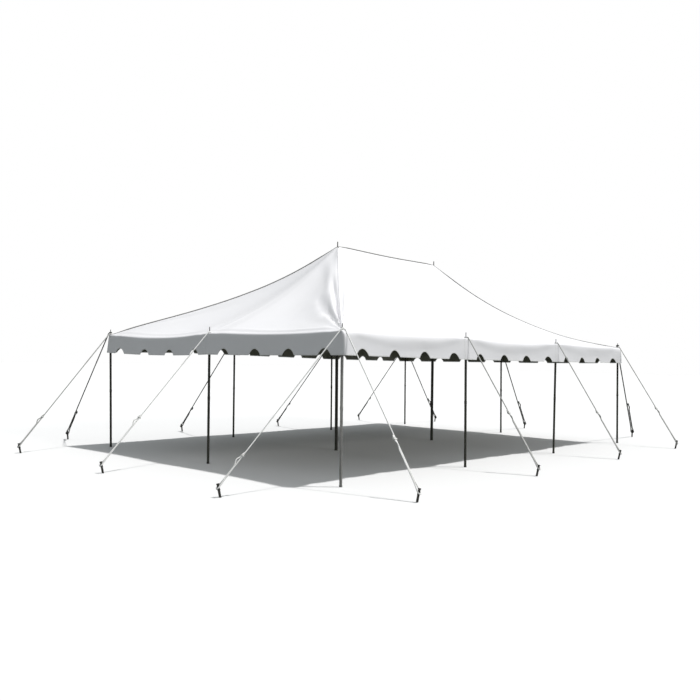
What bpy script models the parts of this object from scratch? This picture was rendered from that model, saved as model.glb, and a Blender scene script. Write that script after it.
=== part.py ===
"""Pole marquee, 20 ft by 30 ft: a vinyl top of four slopes on two centre poles and ten side poles,
held down by fourteen guy ropes and stakes.

Metres, +Z up, ground at z = 0. X runs across the short ends and Y along the length. The front end
faces -Y. The origin is the middle of the ground that the tent and its stakes cover.
"""

import math

import bmesh
import bpy
from mathutils import Matrix, Vector

# Plan: bays of 10 ft, two across the ends and three along the sides
BAY = 3.048
PEAK_FROM_MIDDLE = 1.56
GRID_X = 0.205  # the guys reach further on the left, so the poles stand off the middle of the ground
CENTRE_POLES_OFF_PLAN = Vector((0.026, 0.024))

# Heights of the sheet's outer face
EAVE_HEIGHT = 2.165
PEAK_HEIGHT = 3.955
VALANCE_BOTTOM = 1.79

# The sheet: how it hangs between the poles that stretch it
SHEET = 0.005
SLOPE_SHEET = 0.006  # the slopes' thickness, measured straight down
SEAM_GAP = 0.0005  # between the slopes
EAVE_OVERHANG = 0.04  # from a side pole's axis to the outer face of the sheet
EAVE_SAG = 0.04
DEEP_EAVE_SAG = 0.09
DEEP_SAG_BAYS = ("front_left", "back_middle")  # each named by its first pole
EAVE_BOW = 0.05  # how far the eave draws in at mid-bay
RIDGE_SAG = 0.018
LEVEL_AT_RIDGE = 0.015  # share of each slope that stays level, where a pole's shoulder bears
LEVEL_AT_EAVE = 0.03
PANEL_SAG = 0.05  # extra dip of a slope between two poles
MIDDLE_POLE_SAG = 0.18
MIDDLE_POLE_SKEW = 0.3
HIP_SAG = {"front_left": 0.195, "front_right": 0.25, "back_right": 0.37, "back_left": 0.28}
HIP_SKEW = {"front_left": 0.5, "front_right": 0.3, "back_right": 0.1, "back_left": 0.3}
COLUMNS_PER_BAY = 6
SLOPE_ROWS = (0.1, 0.2, 0.32, 0.45, 0.58, 0.72, 0.86)

# Scallops: round notches in the valance's straight lower edge, four to a bay
NOTCH_PITCH = BAY / 4
NOTCH_HALF_WIDTH = 0.14
NOTCH_DEPTH = 0.086
NOTCH_FULLNESS = 0.75
NOTCH_STEPS = 4  # columns on each half of a notch
STATION_SPACING = 0.012

# Gaps between pieces that touch
HOLE_CLEARANCE = 0.0007  # round a pin, in the sheet
HOLE_DEPTH = 0.1  # of the cutter that makes it
SEAT_GAP = 0.0005
CORNER_GAP = 0.0015
STAKE_LOOP_GAP = 0.0001  # the facets of both leave more

# Poles
PIN_ABOVE_SHEET = 0.095
PIN_CHAMFER = 0.003
TURNED_STEPS = 10
POLES = {
    "side": {"radius": 0.019, "pin": 0.007, "shoulder": 0.014, "seat": 0.0026,
             "sleeve": 0.0215, "sleeve_length": 0.05, "foot": 0.0235, "foot_height": 0.028},
    "centre": {"radius": 0.030, "pin": 0.0095, "shoulder": 0.018, "seat": 0.0008,
               "sleeve": 0.0335, "sleeve_length": 0.16, "foot": 0.048, "foot_height": 0.010},
}

# Stakes: what stands above the ground, leaning away from the tent
STAKE_LEAN = math.radians(12)
STAKE_LENGTH = 0.18
STAKE_RADIUS = 0.0127
STAKE_HEAD = {"radius": 0.022, "thickness": 0.010}
STAKE_COLLAR = {"radius": 0.020, "thickness": 0.008, "top": 0.106}
STAKE_SIDES = 8
ROPE_ON_STAKE = 0.137  # height of the rope's loop, along the stake
GROUND_CUTTER = (16, 16, 0.1)

# Side poles: name and place on the plan, in bays from its middle
SIDE_POLES = {
    "front_left": (-1, -1.5),
    "front_middle": (0, -1.5),
    "front_right": (1, -1.5),
    "right_front": (1, -0.5),
    "right_back": (1, 0.5),
    "back_right": (1, 1.5),
    "back_middle": (0, 1.5),
    "back_left": (-1, 1.5),
    "left_back": (-1, 0.5),
    "left_front": (-1, -0.5),
}
AROUND = list(SIDE_POLES)
# The poles were set by hand, and these stand off their place on the plan
OFF_PLAN = {
    "front_left": Vector((-0.026, -0.024)),
    "front_middle": Vector((0.009, 0.008)),
    "right_front": Vector((-0.015, -0.014)),
    "right_back": Vector((0.012, 0.011)),
    "back_right": Vector((-0.013, -0.012)),
    "back_left": Vector((-0.037, -0.034)),
    "left_front": Vector((-0.037, -0.034)),
}
OUTWARD = {
    "front": Vector((0, -1)),
    "back": Vector((0, 1)),
    "left": Vector((-1, 0)),
    "right": Vector((1, 0)),
}
SIDES = {
    "front": ("front_left", "front_middle", "front_right"),
    "right": ("front_right", "right_front", "right_back", "back_right"),
    "back": ("back_right", "back_middle", "back_left"),
    "left": ("back_left", "left_back", "left_front", "front_left"),
}

# Guys: pole, the side that the rope runs out from, how far the stake stands out from the pole's place
# on the plan and how far along that side (+X or +Y), and the share of the rope where the slider sits
ROPE_RADIUS = 0.00635
GUYS = (
    ("front_left", "front", 1.69, -0.09, 0.76),
    ("front_left", "left", 1.72, 0.01, 0.79),
    ("front_middle", "front", 1.79, -0.12, 0.67),
    ("front_right", "front", 1.71, -0.45, 0.81),
    ("front_right", "right", 1.39, -0.09, 0.70),
    ("right_front", "right", 1.29, 0.04, 0.60),
    ("right_back", "right", 1.26, 0.13, 0.65),
    ("back_right", "right", 1.30, -0.08, 0.66),
    ("back_right", "back", 1.75, -0.38, 0.67),
    ("back_middle", "back", 1.68, -0.28, 0.72),
    ("back_left", "back", 1.45, -0.08, 0.75),
    ("back_left", "left", 1.80, 0.02, 0.75),
    ("left_back", "left", 1.60, -0.33, 0.78),
    ("left_front", "left", 1.79, -0.16, 0.80),
)
SLIDER_SIZE = (0.046, 0.050, 0.017)
SLIDER_STRAND_GAP = 0.004
ROPE_TAIL = 0.06
ROPE_PAST_EAVE = 0.015  # where it bends down
LOOP_STEP = math.radians(36)
PIN_LOOP_STEPS = 6

FINISHES = {
    "vinyl": {"colour": (0.86, 0.86, 0.88), "roughness": 0.45, "metallic": 0.0},
    "galvanised_steel": {"colour": (0.20, 0.20, 0.18), "roughness": 0.45, "metallic": 0.8},
    "rope": {"colour": (0.80, 0.80, 0.77), "roughness": 0.9, "metallic": 0.0},
    "stake_steel": {"colour": (0.07, 0.07, 0.06), "roughness": 0.6, "metallic": 0.6},
}


def material(name):
    found = bpy.data.materials.get(name)
    if found:
        return found
    finish = FINISHES[name]
    made = bpy.data.materials.new(name)
    made.use_nodes = True
    shader = made.node_tree.nodes["Principled BSDF"]
    shader.inputs["Base Color"].default_value = (*finish["colour"], 1)
    shader.inputs["Roughness"].default_value = finish["roughness"]
    shader.inputs["Metallic"].default_value = finish["metallic"]
    return made


def add(name, data, finish, collection):
    obj = bpy.data.objects.new(name, data)
    obj.data.materials.clear()
    obj.data.materials.append(material(finish))
    collection.objects.link(obj)
    return obj


def mesh_from(name, build):
    """A new mesh filled by build, a function that takes a bmesh."""
    mesh = bpy.data.meshes.new(name)
    shape = bmesh.new()
    build(shape)
    shape.to_mesh(mesh)
    shape.free()
    return mesh


def hide_as_cutter(obj):
    obj.hide_render = True
    obj.display_type = "WIRE"


def boolean(obj, other, operation):
    cut = obj.modifiers.new(operation.lower(), "BOOLEAN")
    cut.operation = operation
    cut.object = other


# Plan points

def plan_place(name):
    x, y = SIDE_POLES[name]
    return Vector((GRID_X + x * BAY, y * BAY))


def pole_place(name):
    return plan_place(name) + OFF_PLAN.get(name, Vector((0, 0)))


def peak_place(end):
    along = PEAK_FROM_MIDDLE if end == "back" else -PEAK_FROM_MIDDLE
    return Vector((GRID_X, along)) + CENTRE_POLES_OFF_PLAN


def eave_place(name):
    """Where the sheet's edge passes a side pole: out from it, or out along both sides at a corner."""
    place = pole_place(name)
    for side, poles in SIDES.items():
        if name in poles:
            place += OUTWARD[side] * EAVE_OVERHANG
    return place


def peak_over(name):
    return peak_place("front" if SIDE_POLES[name][1] < 0 else "back")


def bump(t):
    """0 at both ends of a bay, 1 in its middle."""
    return 4 * t * (1 - t)


# The sheet

def eave_columns():
    """Round the eave from the front left corner: for each column, its edge point, the ridge point
    that it runs up to, and the sag and skew of the slope there."""
    columns = []
    for first, second in zip(AROUND, AROUND[1:] + AROUND[:1]):
        side = next(s for s, poles in SIDES.items() if first in poles and second in poles)
        eave_sag = DEEP_EAVE_SAG if first in DEEP_SAG_BAYS else EAVE_SAG
        for step in range(COLUMNS_PER_BAY):
            t = step / COLUMNS_PER_BAY
            edge = eave_place(first).lerp(eave_place(second), t) - OUTWARD[side] * EAVE_BOW * bump(t)
            ridge = peak_over(first).lerp(peak_over(second), t)
            along_ridge = (ridge.y - peak_place("front").y) / (2 * PEAK_FROM_MIDDLE)
            sags = [HIP_SAG.get(name, MIDDLE_POLE_SAG) for name in (first, second)]
            skews = [HIP_SKEW.get(name, MIDDLE_POLE_SKEW) for name in (first, second)]
            columns.append({
                "edge": edge.to_3d() + Vector((0, 0, EAVE_HEIGHT - eave_sag * bump(t))),
                "ridge": ridge.to_3d() + Vector((0, 0, PEAK_HEIGHT - RIDGE_SAG * bump(along_ridge) ** 2)),
                "sag": sags[0] * (1 - t) + sags[1] * t + PANEL_SAG * bump(t),
                "skew": skews[0] * (1 - t) + skews[1] * t,
            })
    return columns


def slope_point(column, share):
    """A point of the slope, a share of the way down from the ridge to the eave."""
    down = (share - LEVEL_AT_RIDGE) / (1 - LEVEL_AT_EAVE - LEVEL_AT_RIDGE)
    down = min(max(down, 0), 1)
    point = column["ridge"].lerp(column["edge"], share)
    level = column["ridge"].z * (1 - down) + column["edge"].z * down
    point.z = level - column["sag"] * bump(down) * (1 + column["skew"] * (1 - 2 * down))
    return point


def slope_columns(side):
    """A side's columns from corner to corner, drawn in from the neighbouring slopes by a hairline."""
    columns = eave_columns()
    first = AROUND.index(SIDES[side][0]) * COLUMNS_PER_BAY
    count = (len(SIDES[side]) - 1) * COLUMNS_PER_BAY
    own = [dict(columns[(first + k) % len(columns)]) for k in range(count + 1)]
    for column, turned in ((own[0], 1), (own[-1], -1)):
        hip = (column["edge"] - column["ridge"]).to_2d().normalized()
        inward = Vector((-hip.y, hip.x, 0)) * turned
        column["edge"] = column["edge"] + inward * SEAM_GAP / 2
    for column in own:
        column["ridge"] = column["ridge"] + OUTWARD[side].to_3d() * SEAM_GAP / 2
    return own


def slope_builder(side):
    """Fills a bmesh with one slope: its outer face, and the same face again a sheet lower."""
    def build(shape):
        rows = (0, LEVEL_AT_RIDGE, *SLOPE_ROWS, 1 - LEVEL_AT_EAVE, 1)
        grid = []
        for column in slope_columns(side):
            grid.append([shape.verts.new(slope_point(column, share)) for share in rows])
        for line, following in zip(grid, grid[1:]):
            for row in range(len(rows) - 1):
                shape.faces.new((line[row], line[row + 1], following[row + 1], following[row]))
        bmesh.ops.remove_doubles(shape, verts=shape.verts, dist=SEAM_GAP / 10)
        bmesh.ops.dissolve_degenerate(shape, edges=shape.edges, dist=SEAM_GAP / 10)
        lower = bmesh.ops.extrude_face_region(shape, geom=shape.faces[:])["geom"]
        moved = [part for part in lower if isinstance(part, bmesh.types.BMVert)]
        bmesh.ops.translate(shape, verts=moved, vec=(0, 0, -SLOPE_SHEET))
        bmesh.ops.recalc_face_normals(shape, faces=shape.faces)
    return build


def thicken(obj):
    """The modelled face is the outer one, so the thickness goes inwards."""
    solidify = obj.modifiers.new("thickness", "SOLIDIFY")
    solidify.thickness = SHEET
    solidify.offset = -1
    solidify.use_even_offset = True


def pin_hole(name, place, pin_radius, height, cutters):
    mesh = mesh_from(name, lambda shape: bmesh.ops.create_cone(
        shape, cap_ends=True, segments=TURNED_STEPS, radius1=pin_radius + HOLE_CLEARANCE,
        radius2=pin_radius + HOLE_CLEARANCE, depth=HOLE_DEPTH))
    hole = bpy.data.objects.new(name, mesh)
    hole.location = (place.x, place.y, height)
    cutters.objects.link(hole)
    hide_as_cutter(hole)
    return hole


def build_slopes(parts, cutters):
    holes = {}
    for name in SIDE_POLES:
        holes[name] = pin_hole(f"hole_{name}", pole_place(name), POLES["side"]["pin"], EAVE_HEIGHT, cutters)
    peak_holes = {}
    for end in ("front", "back"):
        name = f"hole_{end}_peak"
        peak_holes[end] = pin_hole(name, peak_place(end), POLES["centre"]["pin"], PEAK_HEIGHT, cutters)
    for side, poles in SIDES.items():
        slope = add(f"canopy_{side}_slope", mesh_from(f"{side}_slope", slope_builder(side)), "vinyl", parts)
        for name in poles:
            boolean(slope, holes[name], "DIFFERENCE")
        for end, hole in peak_holes.items():
            if side in ("left", "right", end):
                boolean(slope, hole, "DIFFERENCE")


# Valances

def notch_rise(distance):
    """How far the lower edge rises at a distance along a side from its first pole."""
    offset = distance % NOTCH_PITCH - NOTCH_PITCH / 2
    if abs(offset) >= NOTCH_HALF_WIDTH:
        return 0
    return NOTCH_DEPTH * (0.5 + 0.5 * math.cos(math.pi * offset / NOTCH_HALF_WIDTH)) ** NOTCH_FULLNESS


def valance_stations(line, start, direction, length, reach):
    """Distances along a side, from its first pole, where the valance has a column: at each bend of
    the eave and round each notch."""
    bends = [(point.to_2d() - start).dot(direction) for point in line]
    stations = [-reach, *bends[1:-1], length + reach]
    for notch in range(round(length / NOTCH_PITCH)):
        for step in range(-NOTCH_STEPS, NOTCH_STEPS + 1):
            distance = (notch + 0.5) * NOTCH_PITCH + step / NOTCH_STEPS * NOTCH_HALF_WIDTH
            if min(abs(distance - bend) for bend in bends) > STATION_SPACING:
                stations.append(distance)
    return sorted(stations)


def eave_line(side):
    """The sheet's edge along one side, as points, from its first pole to its last."""
    columns = [column["edge"] for column in eave_columns()]
    first = AROUND.index(SIDES[side][0]) * COLUMNS_PER_BAY
    count = (len(SIDES[side]) - 1) * COLUMNS_PER_BAY
    return [columns[(first + k) % len(columns)] for k in range(count + 1)]


def on_line(points, start, direction, distance):
    """The point of a line of points that lies at a distance from start along direction."""
    far = [(point.to_2d() - start).dot(direction) for point in points]
    for k in range(len(points) - 1):
        if distance <= far[k + 1] or k == len(points) - 2:
            return points[k].lerp(points[k + 1], (distance - far[k]) / (far[k + 1] - far[k]))


def build_valance(side, parts):
    line = eave_line(side)
    start = pole_place(SIDES[side][0])
    direction = (pole_place(SIDES[side][-1]) - start).normalized()
    length = (pole_place(SIDES[side][-1]) - start).length
    # The end valances wrap the corners, and the side valances stop behind them
    reach = EAVE_OVERHANG
    if side in ("left", "right"):
        reach -= SHEET + CORNER_GAP

    def build(shape):
        columns = []
        for distance in valance_stations(line, start, direction, length, reach):
            top = on_line(line, start, direction, distance)
            top.z -= SLOPE_SHEET + SEAT_GAP
            bottom = Vector((top.x, top.y, VALANCE_BOTTOM + notch_rise(distance)))
            columns.append((shape.verts.new(top), shape.verts.new(bottom)))
        for (top, bottom), (next_top, next_bottom) in zip(columns, columns[1:]):
            shape.faces.new((top, bottom, next_bottom, next_top))

    thicken(add(f"{side}_valance", mesh_from(f"{side}_valance", build), "vinyl", parts))


# Poles

def pole_profile(kind, top):
    """Radius and height down the outside of a pole, from its pin to its foot. top is the height of
    the sheet's outer face. The sheet falls away round the pin, so the shoulder sits a little lower."""
    size = POLES[kind]
    shoulder = top - SLOPE_SHEET - size["seat"]
    pin_top = top + PIN_ABOVE_SHEET
    taper = size["radius"] - size["shoulder"]
    sleeve_top = (shoulder + size["sleeve_length"]) / 2
    sleeve_foot = sleeve_top - size["sleeve_length"]
    return [
        (0, pin_top),
        (size["pin"] - PIN_CHAMFER, pin_top),
        (size["pin"], pin_top - PIN_CHAMFER),
        (size["pin"], shoulder),
        (size["shoulder"], shoulder),
        (size["radius"], shoulder - 2 * taper),
        (size["radius"], sleeve_top),
        (size["sleeve"], sleeve_top),
        (size["sleeve"], sleeve_foot),
        (size["radius"], sleeve_foot),
        (size["radius"], size["foot_height"]),
        (size["foot"], size["foot_height"]),
        (size["foot"], 0),
        (0, 0),
    ]


def profile_mesh(name, profile):
    mesh = bpy.data.meshes.new(name)
    edges = [(k, k + 1) for k in range(len(profile) - 1)]
    mesh.from_pydata([(radius, 0, height) for radius, height in profile], edges, [])
    return mesh


def turn(obj, steps):
    screw = obj.modifiers.new("turn", "SCREW")
    screw.steps = steps
    screw.render_steps = steps
    screw.use_merge_vertices = True
    screw.merge_threshold = 0.0001
    screw.use_smooth_shade = True


def build_poles(parts):
    side_mesh = profile_mesh("side_pole", pole_profile("side", EAVE_HEIGHT))
    for name in SIDE_POLES:
        pole = add(f"pole_{name}", side_mesh, "galvanised_steel", parts)
        pole.location = (*pole_place(name), 0)
        turn(pole, TURNED_STEPS)
    centre_mesh = profile_mesh("centre_pole", pole_profile("centre", PEAK_HEIGHT))
    for end in ("front", "back"):
        pole = add(f"centre_pole_{end}", centre_mesh, "galvanised_steel", parts)
        pole.location = (*peak_place(end), 0)
        turn(pole, TURNED_STEPS)


# Guys and stakes

def guy_frame(pole, side, reach, drift):
    """The foot of a guy's stake, its level direction away from the pole, and the stake's axis."""
    top = pole_place(pole)
    along = Vector((abs(OUTWARD[side].y), abs(OUTWARD[side].x)))
    foot = plan_place(pole) + OUTWARD[side] * reach + along * drift
    level = (foot - top).normalized().to_3d()
    axis = level * math.sin(STAKE_LEAN) + Vector((0, 0, math.cos(STAKE_LEAN)))
    return foot.to_3d(), level, axis


def stake_profile():
    head_foot = STAKE_LENGTH - STAKE_HEAD["thickness"]
    collar_foot = STAKE_COLLAR["top"] - STAKE_COLLAR["thickness"]
    return [
        (0, STAKE_LENGTH),
        (STAKE_HEAD["radius"] - PIN_CHAMFER, STAKE_LENGTH),
        (STAKE_HEAD["radius"], STAKE_LENGTH - PIN_CHAMFER),
        (STAKE_HEAD["radius"], head_foot),
        (STAKE_RADIUS, head_foot),
        (STAKE_RADIUS, STAKE_COLLAR["top"]),
        (STAKE_COLLAR["radius"], STAKE_COLLAR["top"]),
        (STAKE_COLLAR["radius"], collar_foot),
        (STAKE_RADIUS, collar_foot),
        (STAKE_RADIUS, -STAKE_RADIUS),
        (0, -STAKE_RADIUS),
    ]


def build_stakes(parts, cutters):
    ground = mesh_from("ground", lambda shape: bmesh.ops.create_cube(shape, size=1))
    cutter = bpy.data.objects.new("ground", ground)
    cutter.scale = GROUND_CUTTER
    cutter.location = (0, 0, -GROUND_CUTTER[2] / 2)
    cutters.objects.link(cutter)
    hide_as_cutter(cutter)
    mesh = profile_mesh("stake", stake_profile())
    for pole, side, reach, drift, _ in GUYS:
        foot, level, axis = guy_frame(pole, side, reach, drift)
        stake = add(f"stake_{pole}_{side}", mesh, "stake_steel", parts)
        across = axis.cross(level).normalized()
        turned = Matrix((across.cross(axis), across, axis)).transposed().to_4x4()
        stake.matrix_world = Matrix.Translation(foot) @ turned
        turn(stake, STAKE_SIDES)
        boolean(stake, cutter, "DIFFERENCE")


def rope_route(pole, side, reach, drift, slider, layer):
    """A guy's centreline: hooked round the pole's pin, out over the eave, down to the stake, round it
    and back up to the slider. Returns the points, and the slider's place and directions."""
    foot, level, axis = guy_frame(pole, side, reach, drift)
    across = Vector((0, 0, 1)).cross(level)
    pin = pole_place(pole).to_3d()
    pin.z = EAVE_HEIGHT + SEAT_GAP + ROPE_RADIUS + layer * (2 * ROPE_RADIUS + SEAT_GAP)
    pin_loop = (POLES["side"]["pin"] + SEAT_GAP + ROPE_RADIUS) / math.cos(LOOP_STEP / 2)
    points = []
    for step in range(PIN_LOOP_STEPS, -1, -1):
        turn_by = math.pi / 2 + step * LOOP_STEP
        points.append(pin + pin_loop * (math.cos(turn_by) * level + math.sin(turn_by) * across))
    over_eave = pin + level * (EAVE_OVERHANG + ROPE_PAST_EAVE) + pin_loop * across
    points.append(over_eave)

    held = foot + axis * ROPE_ON_STAKE
    down = (held - over_eave).normalized()
    stake_loop = (STAKE_RADIUS + ROPE_RADIUS + STAKE_LOOP_GAP) / math.cos(LOOP_STEP / 2)
    wrapped = held + stake_loop * across
    stretch = 1 / math.sqrt(1 - down.dot(axis) ** 2)
    for step in range(round(math.pi / LOOP_STEP) + 1):
        turn_by = step * LOOP_STEP
        bend = math.cos(turn_by) * across + stretch * math.sin(turn_by) * down
        points.append(held + stake_loop * bend)

    at = over_eave.lerp(wrapped, slider)
    strand = (wrapped - over_eave).normalized()
    beside = strand.cross(across).cross(strand).normalized()
    apart = 2 * ROPE_RADIUS + SLIDER_STRAND_GAP
    end = at - beside * apart
    points.append(end)
    points.append(end - strand * ROPE_TAIL)
    return points, at - beside * apart / 2, (strand, beside)


def tube(name, points):
    """A round tube along the points, as a closed mesh."""
    curve = bpy.data.curves.new(name, "CURVE")
    curve.dimensions = "3D"
    curve.bevel_depth = ROPE_RADIUS
    curve.bevel_resolution = 1
    curve.use_fill_caps = True
    spline = curve.splines.new("POLY")
    spline.points.add(len(points) - 1)
    for spline_point, point in zip(spline.points, points):
        spline_point.co = (*point, 1)
    guide = bpy.data.objects.new(f"{name}_route", curve)
    bpy.context.scene.collection.objects.link(guide)
    evaluated = guide.evaluated_get(bpy.context.evaluated_depsgraph_get())
    mesh = bpy.data.meshes.new_from_object(evaluated)
    bpy.data.objects.remove(guide)
    shape = bmesh.new()
    shape.from_mesh(mesh)
    bmesh.ops.remove_doubles(shape, verts=shape.verts, dist=0.00001)
    bmesh.ops.recalc_face_normals(shape, faces=shape.faces)
    shape.to_mesh(mesh)
    shape.free()
    mesh.shade_smooth()
    return mesh


def build_guys(parts, cutters):
    block = mesh_from("slider", lambda shape: bmesh.ops.create_cube(shape, size=1))
    used = set()
    for pole, side, reach, drift, slider in GUYS:
        layer = 1 if pole in used else 0
        used.add(pole)
        points, at, (strand, beside) = rope_route(pole, side, reach, drift, slider, layer)
        name = f"guy_{pole}_{side}"
        rope = add(name, tube(name, points), "rope", parts)
        plate = bpy.data.objects.new(f"slider_{pole}_{side}", block)
        turned = Matrix((strand, beside, strand.cross(beside))).transposed().to_4x4()
        plate.matrix_world = Matrix.Translation(at) @ turned @ Matrix.Diagonal((*SLIDER_SIZE, 1))
        cutters.objects.link(plate)
        hide_as_cutter(plate)
        boolean(rope, plate, "UNION")


def main():
    for obj in list(bpy.data.objects):
        bpy.data.objects.remove(obj)
    parts = bpy.data.collections.new("pole_marquee")
    cutters = bpy.data.collections.new("cutters")
    bpy.context.scene.collection.children.link(parts)
    bpy.context.scene.collection.children.link(cutters)
    build_slopes(parts, cutters)
    for side in SIDES:
        build_valance(side, parts)
    build_poles(parts)
    build_stakes(parts, cutters)
    build_guys(parts, cutters)


main()
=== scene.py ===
"""Looks of the pole marquee: one stretched vinyl top with its folds, four scalloped valances, twisted
guy ropes with their sliders, turned steel poles and forged stakes.

Metres, +Z up, ground at z = 0. X runs across the short ends and Y along the length. The front end
faces -Y.
"""

import math

import bmesh
import bpy
import numpy as np
from mathutils import Matrix, Vector, noise
from mathutils.bvhtree import BVHTree


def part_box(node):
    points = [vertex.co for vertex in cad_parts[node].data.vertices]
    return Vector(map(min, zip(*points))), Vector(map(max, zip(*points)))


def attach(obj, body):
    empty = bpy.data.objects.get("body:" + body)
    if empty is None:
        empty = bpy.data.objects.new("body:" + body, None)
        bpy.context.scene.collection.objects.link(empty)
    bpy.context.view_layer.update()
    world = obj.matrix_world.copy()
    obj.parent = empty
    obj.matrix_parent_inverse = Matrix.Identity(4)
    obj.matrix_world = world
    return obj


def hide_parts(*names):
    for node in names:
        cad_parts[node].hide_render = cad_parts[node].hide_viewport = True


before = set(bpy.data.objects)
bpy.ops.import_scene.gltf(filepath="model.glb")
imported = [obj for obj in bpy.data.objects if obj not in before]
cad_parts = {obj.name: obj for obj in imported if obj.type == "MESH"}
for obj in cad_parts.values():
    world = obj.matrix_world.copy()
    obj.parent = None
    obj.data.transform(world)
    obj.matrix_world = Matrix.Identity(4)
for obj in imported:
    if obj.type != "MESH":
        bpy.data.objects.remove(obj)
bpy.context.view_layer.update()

# How the sheet hangs, as in the solids with finer detail
MIDDLE_OVERHANG = 0.04
CORNER_OVERHANG = {"front_left": 0.024, "front_right": 0.04, "back_right": 0.024, "back_left": 0.04}
EAVE_SAG = (0.072, 0.035, 0.010, 0.040, 0.012, 0.035, 0.080, 0.025, 0.035, 0.020)  # by bay
EAVE_SAG_SKEW = 0.18  # the lowest point lies a little past mid-bay
EAVE_BOW = 0.05
RIDGE_SAG = 0.018
LEVEL_AT_RIDGE = 0.002
LEVEL_AT_EAVE = 0.015
PANEL_SAG = 0.06
PANEL_SKEW = -0.65
MIDDLE_POLE_SAG = 0.19
MIDDLE_POLE_SKEW = 0.3
HIP_SAG = {"front_left": 0.222, "front_right": 0.25, "back_right": 0.375, "back_left": 0.28}
HIP_SKEW = {"front_left": 0.6, "front_right": 0.3, "back_right": 0.12, "back_left": 0.3}
VALANCE_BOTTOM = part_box("front_valance")[0].z + 0.012
# How much higher the valance's hem is at some poles, and at the middle of each bay
HEM_LIFT = {"front_left": 0.012, "front_right": 0.016, "back_right": 0.012, "back_middle": -0.020,
            "back_left": -0.035, "left_back": -0.022, "left_front": 0.024}
HEM_LIFT_OF_BAY = (-0.030, -0.008, 0, 0, 0, -0.010, 0, 0, 0, 0.020)
NOTCH_HALF_WIDTH = 0.138
NOTCH_DEPTH = 0.100
NOTCH_SHOULDER = 2.1
NOTCH_FULLNESS = 0.95
# How far the four notches of a bay lie off their even places
NOTCH_SHIFTS = ((-0.03, 0, 0, 0), (0.03, 0.038, 0.055, 0.08), (-0.045, -0.045, -0.02, 0), (0.01, 0.06, 0.06, 0.03),
                (0.03, 0.08, 0.10, 0.05), (-0.06, -0.10, -0.04, 0), (-0.02, -0.03, 0, 0),
                (-0.10, -0.08, -0.08, -0.08), (0, 0, 0, 0.05), (0, 0.10, 0.18, 0.09))
PIN_ABOVE_SHEET = 0.095
PEAK_LIFT = {"front": 0.016, "back": -0.020}

# Plan, from the frame
NEAR_POLE_NAME = "front_right"
AROUND = ("front_left", "front_middle", "front_right", "right_front", "right_back",
          "back_right", "back_middle", "back_left", "left_back", "left_front")
CORNERS = tuple(HIP_SAG)
SIDE_OF_BAY = ("front", "front", "right", "right", "right", "back", "back", "left", "left", "left")
OUTWARD = {"front": Vector((0, -1)), "back": Vector((0, 1)), "left": Vector((-1, 0)), "right": Vector((1, 0))}
GUYS = (
    ("front_left", "front", 0.76), ("front_left", "left", 0.79), ("front_middle", "front", 0.67),
    ("front_right", "front", 0.818), ("front_right", "right", 0.70), ("right_front", "right", 0.60),
    ("right_back", "right", 0.65), ("back_right", "right", 0.66), ("back_right", "back", 0.67),
    ("back_middle", "back", 0.72), ("back_left", "back", 0.75), ("back_left", "left", 0.75),
    ("left_back", "left", 0.78), ("left_front", "left", 0.80),
)
# The poles lean a little: how far the top and the foot stand off the solid, along LEAN_LINE
LEAN_LINE = Vector((0.735, 0.678))
LEANS = {
    "front_left": (-0.017, 0.041), "front_middle": (-0.009, 0.013), "front_right": (-0.018, 0.001),
    "right_front": (-0.012, 0.012), "right_back": (0.008, -0.008), "back_right": (-0.009, 0.009),
    "back_middle": (-0.018, 0.008), "back_left": (-0.015, 0.008), "left_back": (-0.020, 0.003),
    "left_front": (-0.017, 0.003), "front": (-0.025, 0.023), "back": (-0.008, 0.012),
}


def middle_of(node):
    low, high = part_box(node)
    return (low + high) / 2


POLE_AXIS = {name: middle_of(f"pole_{name}").to_2d() for name in AROUND}
POLE_AXIS.update({end: middle_of(f"centre_pole_{end}").to_2d() for end in PEAK_LIFT})
POLE_PLACE = {name: POLE_AXIS[name] + LEAN_LINE * LEANS[name][0] for name in AROUND}
PEAK_PLACE = {end: POLE_AXIS[end] + LEAN_LINE * LEANS[end][0] for end in PEAK_LIFT}
EAVE_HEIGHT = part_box("pole_front_left")[1].z - PIN_ABOVE_SHEET
PEAK_HEIGHT = {end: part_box(f"centre_pole_{end}")[1].z - PIN_ABOVE_SHEET + lift for end, lift in PEAK_LIFT.items()}
BAY = (POLE_AXIS["front_right"].x - POLE_AXIS["left_back"].x) / 2
NOTCH_PITCH = BAY / 4
TENT_MIDDLE = Vector(((POLE_AXIS["front_right"].x + POLE_AXIS["left_back"].x) / 2,
                      (POLE_AXIS["front_right"].y + POLE_AXIS["back_middle"].y) / 2))


def bump(t):
    """0 at both ends of a bay, 1 in its middle."""
    return 4 * t * (1 - t)


def smooth(low, high, x):
    t = np.clip((x - low) / (high - low), 0, 1)
    return t * t * (3 - 2 * t)


# Objects and materials

def add_mesh(name, verts, faces, materials, places=None):
    """places gives each vertex its place on the strip's own map, in metres: along and across."""
    mesh = bpy.data.meshes.new(name)
    mesh.from_pydata([tuple(v) for v in verts], [], faces)
    mesh.polygons.foreach_set("use_smooth", [True] * len(mesh.polygons))
    if places:
        on_strip = mesh.uv_layers.new(name="on_strip")
        on_strip.data.foreach_set("uv", [c for loop in mesh.loops for c in places[loop.vertex_index]])
    obj = bpy.data.objects.new(name, mesh)
    for material in materials:
        mesh.materials.append(material)
    bpy.context.scene.collection.objects.link(obj)
    return obj


def grid_faces(lines, points, closed):
    """Quads between neighbouring lines of points; each line has the same number of points."""
    faces = []
    for k in range(lines if closed else lines - 1):
        here = k * points
        there = (k + 1) % lines * points
        for j in range(points - 1):
            faces.append((here + j, here + j + 1, there + j + 1, there + j))
    return faces


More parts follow.
